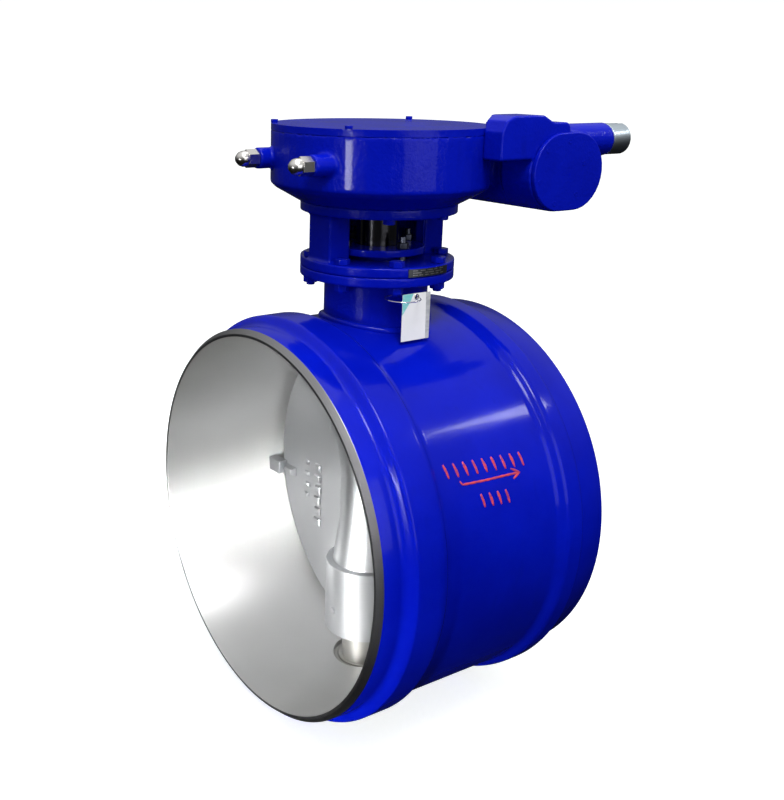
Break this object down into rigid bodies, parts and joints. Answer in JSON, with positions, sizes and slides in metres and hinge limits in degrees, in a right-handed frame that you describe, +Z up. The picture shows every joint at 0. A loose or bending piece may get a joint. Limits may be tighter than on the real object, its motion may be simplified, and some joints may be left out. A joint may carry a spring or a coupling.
{
  "type": "butterfly valve",
  "caption": "Butt-welded triple-offset butterfly valve: short pipe body, bracket and round two-stage worm gear operator with bare input shaft.",
  "frame": {"origin": "where the stem axis crosses the pipe axis, in the middle of the body", "axes": "+X along the pipe towards the outlet, +Z up the stem to the gear operator"},
  "size_m": [0.848, 0.96, 1.417],
  "materials": {
    "paint": "glossy ultramarine blue paint",
    "steel": "machined bare steel",
    "dark_steel": "dark oiled steel",
    "bronze": "machined bronze",
    "packing": "graphite packing",
    "card": "plain white card"
  },
  "bodies": {
    "valve_body": {"body_shell": "paint", "stem_neck": "paint", "seat_ring": "steel", "disc_stop": "steel", "lower_boss": "paint", "lower_cover": "paint", "upper_bush": "bronze", "lower_bush": "bronze", "spacer_sleeve": "bronze", "packing_ring_1": "packing", "packing_ring_2": "packing", "gland_follower": "paint", "gland_stud_1": "steel", "gland_stud_2": "steel", "gland_stud_3": "steel", "gland_stud_4": "steel", "bracket": "paint", "flange_bolt_1": "dark_steel", "flange_bolt_2": "dark_steel", "flange_bolt_3": "dark_steel", "flange_bolt_4": "dark_steel", "flange_bolt_5": "dark_steel", "flange_bolt_6": "dark_steel", "flange_bolt_7": "dark_steel", "flange_bolt_8": "dark_steel", "gearbox_housing": "paint", "gearbox_bolt_1": "dark_steel", "gearbox_bolt_2": "dark_steel", "gearbox_bolt_3": "dark_steel", "gearbox_bolt_4": "dark_steel", "gearbox_cover": "paint", "cover_bolt_1": "dark_steel", "cover_bolt_2": "dark_steel", "cover_bolt_3": "dark_steel", "cover_bolt_4": "dark_steel", "worm_end_cap": "paint", "worm_bearing_1": "steel", "worm_bearing_2": "steel", "primary_case": "paint", "primary_cover": "paint", "name_plate": "dark_steel", "tag_wire": "steel"},
    "disc_group": {"disc": "steel", "disc_seal": "steel", "seal_retainer": "steel", "taper_pin_1": "steel", "taper_pin_2": "steel", "stem": "steel", "lower_shaft": "steel", "stem_key": "steel", "worm_wheel": "bronze"},
    "worm_group": {"worm_shaft": "steel", "primary_wheel": "bronze"},
    "input_group": {"input_shaft": "steel"},
    "stop_screw_front": {"stop_screw_1": "steel", "stop_nut_1": "steel"},
    "stop_screw_back": {"stop_screw_2": "steel", "stop_nut_2": "steel"},
    "tag": {"hang_tag": "card"}
  },
  "joints": [
    {"name": "disc_turn", "type": "hinge", "parent": "valve_body", "child": "disc_group", "pos_m": [0, 0, 0], "axis": [0, 0, -1], "range_deg": [0, 90]},
    {"name": "worm_turn", "type": "hinge", "parent": "valve_body", "child": "worm_group", "pos_m": [0.27, 0, 0.812], "axis": [0, 1, 0], "range_deg": [0, 3870]},
    {"name": "input_turn", "type": "hinge", "parent": "valve_body", "child": "input_group", "pos_m": [0, -0.248, 0.8764], "axis": [1, 0, 0], "range_deg": [-46440, 0]},
    {"name": "stop_front_adjust", "type": "slide", "parent": "valve_body", "child": "stop_screw_front", "axis": [-1, 0, 0], "range_m": [0, 0.01]},
    {"name": "stop_back_adjust", "type": "slide", "parent": "valve_body", "child": "stop_screw_back", "axis": [-1, 0, 0], "range_m": [0, 0.01]},
    {"name": "tag_swing", "type": "hinge", "parent": "valve_body", "child": "tag", "pos_m": [-0.022, -0.172, 0.54], "axis": [0, 1, 0], "range_deg": [-20, 20]}
  ],
  "couplings": [
    {"joint": "worm_turn", "follows": "disc_turn", "ratio": 43},
    {"joint": "input_turn", "follows": "disc_turn", "ratio": -516}
  ]
}
